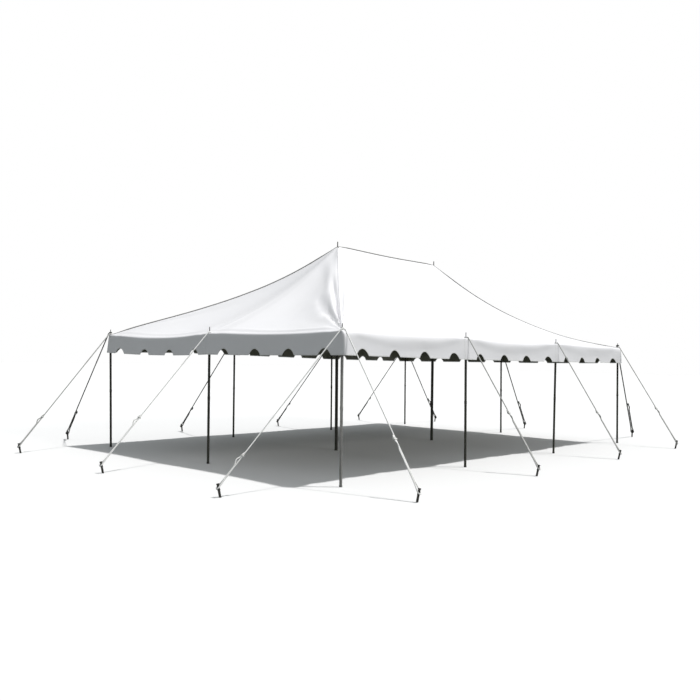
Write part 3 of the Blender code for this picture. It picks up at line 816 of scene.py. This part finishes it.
def build_seams(tree):
    """Down the valance at each pole between the corners."""
    seams = []
    for bay, name in enumerate(AROUND):
        if name in CORNERS:
            continue
        column = column_at(bay - 1, BAY + sum(overhangs(bay - 1)) - SEAM_ASIDE)
        line = hanging_points(column)[2:]
        line[-1].z += 0.004
        seams.append(seam_tape(f"seam_{name}", line, tree))
    return seams


# Poles

def pole_profile(kind, top):
    """Radius and height down the outside of a pole, from its pin's tip to its foot."""
    big = kind == "centre"
    tube = 0.030 if big else 0.0205
    pin = 0.0095 if big else 0.007
    sleeve = 0.0335 if big else 0.023
    sleeve_length = 0.16 if big else 0.05
    foot = 0.038 if big else 0.023
    foot_height = 0.010 if big else 0.028
    tip = top + PIN_ABOVE_SHEET
    shoulder = top - 0.0016
    middle = (shoulder + sleeve_length) / 2
    return [
        (0, tip), (pin * 0.55, tip - 0.001), (pin * 0.9, tip - 0.004), (pin, tip - 0.009),
        (pin, shoulder + 0.003), (pin + 0.002, shoulder), (tube * 0.8, shoulder - (0.013 if big else 0.0012)),
        (tube * 0.8, shoulder - 0.016), (tube * 0.97, shoulder - 0.018), (tube, shoulder - 0.022),
        (tube, middle + 0.004), (sleeve - 0.001, middle), (sleeve, middle - 0.002),
        (sleeve, middle - sleeve_length / 2), (sleeve, middle - sleeve_length + 0.002),
        (sleeve - 0.001, middle - sleeve_length), (tube * 1.005, middle - sleeve_length - 0.004),
        (tube, foot_height + 0.004), (foot - 0.001, foot_height), (foot, foot_height - 0.002),
        (foot, 0.002), (foot - 0.002, 0), (0, 0),
    ]


def turned_mesh(name, profile, steps, materials, place, matrix=None):
    """A turned piece; profile gives radius and height from top to bottom."""
    points = []
    for radius, height in profile:
        for step in range(steps):
            angle = 2 * math.pi * step / steps
            points.append(Vector((radius * math.cos(angle), radius * math.sin(angle), height)))
    if matrix:
        points = [matrix @ p for p in points]
    points = [p + Vector(place) for p in points]
    faces = []
    for k in range(len(profile) - 1):
        for step in range(steps):
            after = (step + 1) % steps
            faces.append((k * steps + step, (k + 1) * steps + step, (k + 1) * steps + after, k * steps + after))
    obj = add_mesh(name, points, faces, materials)
    shape = bmesh.new()
    shape.from_mesh(obj.data)
    bmesh.ops.remove_doubles(shape, verts=shape.verts, dist=0.00005)
    bmesh.ops.dissolve_degenerate(shape, edges=shape.edges, dist=0.00001)
    bmesh.ops.recalc_face_normals(shape, faces=shape.faces)
    for edge in shape.edges:
        edge.smooth = edge.calc_face_angle(0) < math.radians(38)
    shape.to_mesh(obj.data)
    shape.free()
    return obj


def leaning(pole, name, height):
    """Leans a pole that was made upright at its foot, so that its top stands in its place."""
    top, foot = LEANS[name]
    shift = LEAN_LINE * (top - foot)
    for vert in pole.data.vertices:
        share = min(vert.co.z / height, 1)
        vert.co.x += shift.x * share
        vert.co.y += shift.y * share


def build_poles():
    for name in AROUND:
        foot = POLE_AXIS[name] + LEAN_LINE * LEANS[name][1]
        # Painted light and shade: the near pole takes the lit copy of the steel, and the others take the shaded one.
        steel = NEAR_STEEL_PAINTED_LIGHT if name == NEAR_POLE_NAME else POLE_STEEL_PAINTED_SHADE
        pole = turned_mesh(f"side_pole_{name}", pole_profile("side", EAVE_HEIGHT), 32, [steel], (*foot, 0))
        leaning(pole, name, EAVE_HEIGHT)
        finish_piece(pole, "galvanised_steel", f"pole_{name}")
    for end in PEAK_PLACE:
        foot = POLE_AXIS[end] + LEAN_LINE * LEANS[end][1]
        height = PEAK_HEIGHT[end]
        pole = turned_mesh(f"main_pole_{end}", pole_profile("centre", height), 40, [POLE_STEEL_PAINTED_SHADE], (*foot, 0))
        leaning(pole, end, height)
        finish_piece(pole, "galvanised_steel", f"centre_pole_{end}")


# Guys and stakes

ROPE_LAY = 0.060
ROPE_SIDES = 12
ROPE_STEP = 0.0062
STAKE_RADIUS = 0.016
STAKE_LEAN = math.radians(12)
STAKE_LENGTH = 0.18
ROPE_ON_STAKE = 0.137
ROPE_TAIL = 0.06
ROPE_LIFT = 0.002
ROPE_OVER_EDGE = 0.030
STRANDS_MEET = 0.14  # above the stake's loop
# The slack bight of the returning strand below the slider
BIGHT_LENGTH = 0.16
BIGHT_WIDTH = 0.026
# Rope colour and radius, by side: every guy is the same white rope, and the darker copies are painted shade for ropes
# seen from their unlit side
ROPES = {"front": (ROPE_PAINTED_DIM, 0.0105), "right": (ROPE_PAINTED_GREY, 0.0105), "back": (ROPE_SHADED, 0.014),
         "left": (ROPE_SHADED, 0.0115), "near": (ROPE, 0.0095)}
NEAR_ROPES = (NEAR_POLE_NAME, "front_middle")


def stake_frame(pole, side):
    """A stake's foot, the level direction away from its pole, and its axis."""
    low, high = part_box(f"stake_{pole}_{side}")
    top = POLE_PLACE[pole]
    rough = ((low + high) / 2).to_2d() - top
    level = rough.normalized()
    head = 0.5 * STAKE_LENGTH * math.sin(STAKE_LEAN)
    foot = top + rough - level * head
    axis = level.to_3d() * math.sin(STAKE_LEAN) + Vector((0, 0, math.cos(STAKE_LEAN)))
    return foot.to_3d(), level.to_3d(), axis


def rope_route(pole, side, slider, layer, radius):
    """A guy's centreline: hooked round the pole's pin, out over the eave and down to the stake, round it
    and back up beside itself to the slider. Returns the points, and the slider's place and directions."""
    foot, level, axis = stake_frame(pole, side)
    across = Vector((0, 0, 1)).cross(level)
    pin = POLE_PLACE[pole].to_3d()
    pin.z = EAVE_HEIGHT + ROPE_LIFT + radius + layer * (2 * radius + 0.0005)
    pin_loop = 0.007 + radius + 0.0008
    points = []
    for step in range(22, -1, -1):
        turn_by = math.pi / 2 + step * math.radians(12)
        points.append(pin + pin_loop * (math.cos(turn_by) * level + math.sin(turn_by) * across))
    over_eave = pin + level * (ROPE_OVER_EDGE + layer * 0.010) + pin_loop * across
    over_eave.z = EAVE_HEIGHT + ROPE_LIFT + radius
    held = foot + axis * ROPE_ON_STAKE
    strand = (held - over_eave).normalized()
    across = Vector((0, 0, 1)).cross(strand).normalized()
    above = strand.cross(across)
    half = radius + 0.0006
    meet = held - strand * STRANDS_MEET
    for k in range(7):
        share = k / 6
        points.append(over_eave + (share - 0.5) * 0.03 * level.lerp(strand, share))
    points.append(meet + across * half)
    stake_loop = STAKE_RADIUS + radius + 0.0004
    stretch = 1 / math.sqrt(1 - strand.dot(axis) ** 2)
    around = []
    for step in range(17):
        turn_by = step * math.pi / 16
        bend = math.cos(turn_by) * across + stretch * math.sin(turn_by) * strand
        around.append(held + stake_loop * bend)
    points.extend(around)
    points.append(meet - across * half)
    main_end = meet + across * half
    at = over_eave.lerp(main_end, slider * (held - over_eave).length / (main_end - over_eave).length)
    for k in range(13):
        down = BIGHT_LENGTH * (1 - k / 12)
        bulge = BIGHT_WIDTH * math.sin(math.pi * k / 12) ** 2
        points.append(at + strand * down - across * (2 * half + 0.4 * bulge) + above * bulge)
    points.append(at - across * 2 * half - strand * ROPE_TAIL)
    return points, at, strand, across, 2 * half


def resampled(points, step):
    """Points a step apart along a line of points, with its bends rounded."""
    line = np.array([list(p) for p in points])
    gaps = np.linalg.norm(np.diff(line, axis=0), axis=1)
    far = np.concatenate([[0], np.cumsum(gaps)])
    count = max(4, int(far[-1] / step))
    wanted = np.linspace(0, far[-1], count)
    return np.stack([np.interp(wanted, far, line[:, k]) for k in range(3)], axis=1), far[-1]


def twisted_rope(name, points, material_and_shade, radius, step=ROPE_STEP):
    """A three-strand rope along the points: a three-lobed section that turns as it goes."""
    line, length = resampled(points, step)
    tangents = np.gradient(line, axis=0)
    tangents /= np.linalg.norm(tangents, axis=1)[:, None]
    normal = np.cross(tangents[0], (0.3, 0.2, 0.9))
    normal /= np.linalg.norm(normal)
    verts = []
    for k, (point, tangent) in enumerate(zip(line, tangents)):
        normal = normal - tangent * normal.dot(tangent)
        normal /= np.linalg.norm(normal)
        side = np.cross(tangent, normal)
        twist = 2 * math.pi * (k * length / len(line)) / ROPE_LAY
        swell = 1.0 if 0 < k < len(line) - 1 else 0.7
        for j in range(ROPE_SIDES):
            angle = 2 * math.pi * j / ROPE_SIDES
            lobe = abs(math.cos(1.5 * angle))
            reach = radius * swell * (0.74 + 0.26 * lobe ** 0.8)
            verts.append(point + reach * (math.cos(angle + twist) * normal + math.sin(angle + twist) * side))
    faces = []
    for k in range(len(line) - 1):
        here, there = k * ROPE_SIDES, (k + 1) * ROPE_SIDES
        for j in range(ROPE_SIDES):
            after = (j + 1) % ROPE_SIDES
            faces.append((here + j, here + after, there + after, there + j))
    faces.append(tuple(range(ROPE_SIDES - 1, -1, -1)))
    faces.append(tuple((len(line) - 1) * ROPE_SIDES + j for j in range(ROPE_SIDES)))
    return add_mesh(name, verts, faces, [material_and_shade])


def knot_points(middle, axis, size):
    """An overhand knot's path, drawn tight round the middle, entering and leaving along the axis."""
    side = axis.cross(Vector((0.2, 0.1, 1))).normalized()
    up = axis.cross(side)
    points = []
    for k in range(49):
        a = 2 * math.pi * k / 48
        x = math.sin(a) + 2 * math.sin(2 * a)
        y = math.cos(a) - 2 * math.cos(2 * a)
        z = -math.sin(3 * a)
        points.append(middle + size * (0.36 * x * side + 0.36 * y * up + 0.55 * z * axis))
    return points


def slider_plate(name, middle, strand, beside):
    """A rounded nylon plate centred between the two strands, with no holes cut for them."""
    length, width, thick = 0.020, 0.060, 0.034
    third = strand.cross(beside)
    shape = bmesh.new()
    bmesh.ops.create_cube(shape, size=1)
    bmesh.ops.scale(shape, vec=(length, width, thick), verts=shape.verts)
    bmesh.ops.bevel(shape, geom=shape.edges[:], offset=0.006, segments=4, profile=0.5, affect="EDGES")
    turned = Matrix((strand, beside, third)).transposed()
    for vert in shape.verts:
        vert.co = turned @ vert.co + middle
    mesh = bpy.data.meshes.new(name)
    shape.to_mesh(mesh)
    shape.free()
    mesh.polygons.foreach_set("use_smooth", [True] * len(mesh.polygons))
    plate = bpy.data.objects.new(name, mesh)
    mesh.materials.append(SLIDER_PLASTIC)
    bpy.context.scene.collection.objects.link(plate)
    return plate


def stake_profile():
    head, body, collar = 0.022, STAKE_RADIUS, 0.020
    top = STAKE_LENGTH
    return [
        (0, top + 0.001), (head * 0.5, top), (head * 0.88, top - 0.0015), (head, top - 0.004), (head, top - 0.008),
        (head * 0.9, top - 0.010), (body * 1.08, top - 0.0115), (body, top - 0.016),
        (body, 0.110), (body * 1.15, 0.1075), (collar * 0.93, 0.106), (collar, 0.104), (collar, 0.100),
        (collar * 0.93, 0.098), (body * 1.15, 0.0965), (body, 0.094), (body, 0.05), (body, 0.02), (body, 0),
    ]


def build_stake(pole, side):
    foot, level, axis = stake_frame(pole, side)
    across = axis.cross(level).normalized()
    turned = Matrix((across.cross(axis), across, axis)).transposed()
    profile = stake_profile()
    stake = turned_mesh(f"steel_stake_{pole}_{side}", profile[:-1] + [(STAKE_RADIUS, -0.004), (0, -0.004)], 24,
                        [STAKE_STEEL_PAINTED_SHADE], foot, turned)
    shape = bmesh.new()
    shape.from_mesh(stake.data)
    for vert in shape.verts:
        if vert.co.z > 0.03:
            vert.co += 0.0007 * Vector(noise.noise_vector(vert.co * 45))
        vert.co.z = max(vert.co.z, 0)
    shape.to_mesh(stake.data)
    shape.free()
    finish_piece(stake, "stake_steel", f"stake_{pole}_{side}")


def build_guys():
    used = set()
    for pole, side, slider in GUYS:
        layer = 1 if pole in used else 0
        used.add(pole)
        material_and_shade, radius = ROPES["near" if pole in NEAR_ROPES else side]
        points, at, strand, beside, apart = rope_route(pole, side, slider, layer, radius)
        rope = twisted_rope(f"guy_rope_{pole}_{side}", points, material_and_shade, radius)
        finish_piece(rope, "rope", f"guy_{pole}_{side}")
        plate = slider_plate(f"slider_{pole}_{side}", at - beside * apart / 2, strand, beside)
        finish_piece(plate, "rope")
        knot = twisted_rope(f"knot_{pole}_{side}", knot_points(at - beside * apart - strand * 0.024, strand, 0.0095),
                            material_and_shade, radius, step=0.003)
        finish_piece(knot, "rope")
        build_stake(pole, side)


# Fittings on the sheet

def height_on(tree, x, y):
    """The sheet's height over a plan point; a ray that slips between two faces is tried again beside it."""
    for aside in (0, 0.0004, -0.0004, 0.001):
        hit = tree.ray_cast(Vector((x + aside, y + aside / 2, PEAK_HEIGHT["front"] + 1)), Vector((0, 0, -1)))[0]
        if hit:
            return hit.z
    raise ValueError(f"the sheet doesn't reach {x:.4f}, {y:.4f}")


def build_grommet(name, place, inner, outer, tree):
    """A pressed ring round a pin's hole, on the sheet."""
    profile = [(inner, -0.002), (inner, 0.0012), (inner + 0.0012, 0.002), ((inner + outer) / 2, 0.0019),
               (outer - 0.0012, 0.0015), (outer, 0.0004), (outer, -0.002)]
    ring = turned_mesh(name, profile, 32, [ZINC], (place.x, place.y, 0))
    for vert in ring.data.vertices:
        vert.co.z += height_on(tree, vert.co.x, vert.co.y)
    return ring


def build_fittings(tree):
    pieces = []
    for name in AROUND:
        pieces.append(build_grommet(f"grommet_{name}", POLE_PLACE[name], 0.0078, 0.018, tree))
    for end, place in PEAK_PLACE.items():
        pieces.append(build_grommet(f"grommet_{end}_peak", place, 0.0105, 0.026, tree))
    for piece in pieces:
        finish_piece(piece, "galvanised_steel")


# Studio

CAMERA_FROM_MIDDLE = Vector((10.175, -12.162, 1.731))
CAMERA_YAW = math.radians(-42.688)
CAMERA_PITCH = math.radians(0.875)
CAMERA_ROLL = math.radians(1.10)
PHOTO_WIDTH = 700
PHOTO_FOCAL = 754.0
SENSOR = 36


def build_camera():
    camera = bpy.data.objects.new("camera", bpy.data.cameras.new("camera"))
    camera.data.sensor_width = SENSOR
    camera.data.lens = PHOTO_FOCAL / PHOTO_WIDTH * SENSOR
    camera.data.clip_end = 500
    turned = (Matrix.Rotation(-CAMERA_YAW, 4, "Z") @ Matrix.Rotation(math.pi / 2 + CAMERA_PITCH, 4, "X")
              @ Matrix.Rotation(CAMERA_ROLL, 4, "Z"))
    camera.matrix_world = Matrix.Translation(CAMERA_FROM_MIDDLE + TENT_MIDDLE.to_3d()) @ turned
    bpy.context.scene.collection.objects.link(camera)
    bpy.context.scene.camera = camera


def build_floor():
    floor_material = bpy.data.materials.new("studio_floor")
    floor_material.use_nodes = True
    shader = floor_material.node_tree.nodes["Principled BSDF"]
    shader.inputs["Base Color"].default_value = (0.80, 0.80, 0.80, 1)
    shader.inputs["Roughness"].default_value = 1.0
    shader.inputs["Specular IOR Level"].default_value = 0.0
    floor = add_mesh("studio_floor", [(-150, -150, 0), (150, -150, 0), (150, 150, 0), (-150, 150, 0)],
                     [(0, 1, 2, 3)], [floor_material])
    floor.location.z = -0.0005
    floor.visible_diffuse = False


def add_sun(name, direction, strength, angle, colour):
    light = bpy.data.lights.new(name, "SUN")
    light.energy = strength
    light.angle = math.radians(angle)
    light.color = colour
    sun = bpy.data.objects.new(name, light)
    sun.rotation_mode = "QUATERNION"
    sun.rotation_quaternion = Vector(direction).to_track_quat("Z", "Y")
    bpy.context.scene.collection.objects.link(sun)


def build_world():
    world = bpy.data.worlds.new("studio")
    bpy.context.scene.world = world
    world.use_nodes = True
    tree = world.node_tree
    tree.nodes.clear()
    output = tree.nodes.new("ShaderNodeOutputWorld")
    place = tree.nodes.new("ShaderNodeTexCoord")
    split = tree.nodes.new("ShaderNodeSeparateXYZ")
    above = tree.nodes.new("ShaderNodeMapRange")
    for socket, value in (("From Min", -0.03), ("From Max", 0.03), ("To Min", 0.0), ("To Max", 1.0)):
        above.inputs[socket].default_value = value
    mix = tree.nodes.new("ShaderNodeMix")
    mix.data_type = "RGBA"
    mix.inputs[6].default_value = (0.150, 0.165, 0.160, 1)
    mix.inputs[7].default_value = (0.39, 0.41, 0.42, 1)
    ambient = tree.nodes.new("ShaderNodeBackground")
    backdrop = tree.nodes.new("ShaderNodeBackground")
    backdrop.inputs["Color"].default_value = (1, 1, 1, 1)
    rays = tree.nodes.new("ShaderNodeLightPath")
    seen = tree.nodes.new("ShaderNodeMixShader")
    tree.links.new(place.outputs["Generated"], split.inputs[0])
    tree.links.new(split.outputs["Z"], above.inputs["Value"])
    tree.links.new(above.outputs["Result"], mix.inputs[0])
    tree.links.new(mix.outputs[2], ambient.inputs["Color"])
    tree.links.new(rays.outputs["Is Camera Ray"], seen.inputs[0])
    tree.links.new(ambient.outputs[0], seen.inputs[1])
    tree.links.new(backdrop.outputs[0], seen.inputs[2])
    tree.links.new(seen.outputs[0], output.inputs["Surface"])


def build_studio():
    build_camera()
    build_floor()
    build_world()
    add_sun("key", (0.24, 0.24, 0.94), 2.8, 2.5, (1, 0.99, 0.98))
    add_sun("side", (1, 0.12, 0.40), 0.71, 12, (1, 0.985, 0.965))
    bpy.context.scene.view_settings.view_transform = "Standard"


def main():
    build_studio()
    canopy, tree, area, columns = build_canopy()
    finish_piece(canopy, "vinyl", *[f"canopy_{side}_slope" for side in OUTWARD],
                 *[f"{side}_valance" for side in OUTWARD])
    sewn_on = build_welts(tree) + build_seams(tree) + [build_hem(columns)]
    build_poles()
    build_guys()
    build_fittings(tree)


main()
